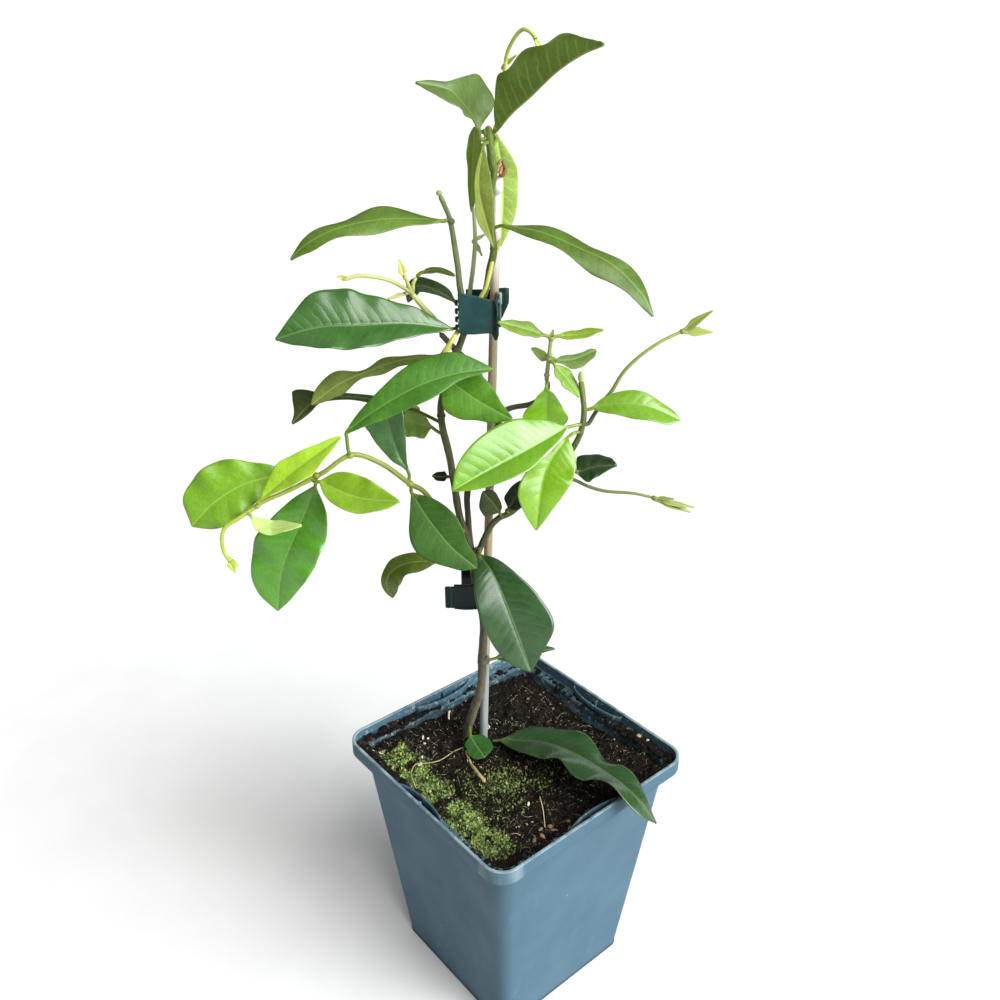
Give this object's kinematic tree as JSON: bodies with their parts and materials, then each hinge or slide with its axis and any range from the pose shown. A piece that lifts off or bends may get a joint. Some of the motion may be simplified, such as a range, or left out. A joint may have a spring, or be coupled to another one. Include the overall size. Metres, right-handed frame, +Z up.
{
  "type": "potted star jasmine",
  "caption": "Young star jasmine with glossy oval leaves, its stems clipped to an upright bamboo cane, growing in a square tapered nursery pot of dark peat.",
  "frame": {"origin": "centre of the pot's flat underside", "axes": "+Z up along the pot's axis and the cane; X and Y square to the pot's sides, the camera's view looking between them towards +X and +Y"},
  "size_m": [0.1409, 0.1103, 0.3371],
  "materials": {
    "pot_plastic": "blue-grey moulded plastic, satin, dusty and lightly scuffed",
    "peat": "dark damp peat with fibres, crumbs and moss",
    "bamboo": "dry bamboo, greyish tan",
    "clip_plastic": "dark green moulded plastic, glossy",
    "bark": "rough grey-brown bark",
    "young_stem": "smooth yellow-green young bark",
    "leaf_olive": "leathery leaf, olive, satin",
    "leaf_green": "leathery leaf, mid green, glossy",
    "leaf_dark": "leathery leaf, dark green, glossy",
    "leaf_young": "young leaf, bright lime green, glossy"
  },
  "bodies": {
    "root": {"pot": "pot_plastic", "soil": "peat", "cane": "bamboo", "clip_upper": "clip_plastic", "clip_lower": "clip_plastic", "stem_woody": "bark", "branch_left": "young_stem", "shoot_right_inner": "young_stem", "shoot_right_upper": "young_stem", "shoot_right_lower": "young_stem", "shoot_pale_thin": "young_stem", "shoot_young_left": "young_stem", "shoot_yellow_climbing": "young_stem", "leaf_top_right": "leaf_olive", "leaf_top_left": "leaf_green", "leaf_hanging_dark": "leaf_dark", "leaf_hanging_folded": "leaf_olive", "leaf_hanging_pale": "leaf_olive", "leaf_long_right": "leaf_olive", "leaf_long_left": "leaf_olive", "leaf_left_broad_dark": "leaf_dark", "leaf_clip_curled": "leaf_dark", "leaf_left_twisted": "leaf_olive", "leaf_left_dark_lobed": "leaf_dark", "leaf_middle_broad": "leaf_green", "leaf_middle_short": "leaf_green", "leaf_middle_hanging": "leaf_dark", "leaf_left_inner": "leaf_green", "leaf_small_olive": "leaf_olive", "leaf_tiny_dark": "leaf_dark", "leaf_lower_curled": "leaf_olive", "leaf_yellow_pointed": "leaf_young", "leaf_yellow_narrow": "leaf_young", "leaf_yellow_wide": "leaf_young", "leaf_left_large_dark": "leaf_dark", "leaf_left_tip_pale": "leaf_young", "leaf_pair_left": "leaf_young", "leaf_pair_right": "leaf_young", "leaf_olive_left": "leaf_olive", "leaf_olive_right": "leaf_olive", "leaf_shoot_small": "leaf_young", "leaf_bright_upper": "leaf_young", "leaf_bright_left": "leaf_young", "leaf_bright_lower": "leaf_young", "leaf_bright_right": "leaf_young", "leaf_dark_right": "leaf_dark", "leaf_dark_inner": "leaf_dark", "leaf_olive_inner": "leaf_olive", "leaf_large_lower": "leaf_dark", "leaf_low_hidden": "leaf_dark", "leaf_on_soil": "leaf_dark", "leaf_base_oval": "leaf_dark", "leaf_young_edge_on": "leaf_olive"}
  },
  "joints": []
}
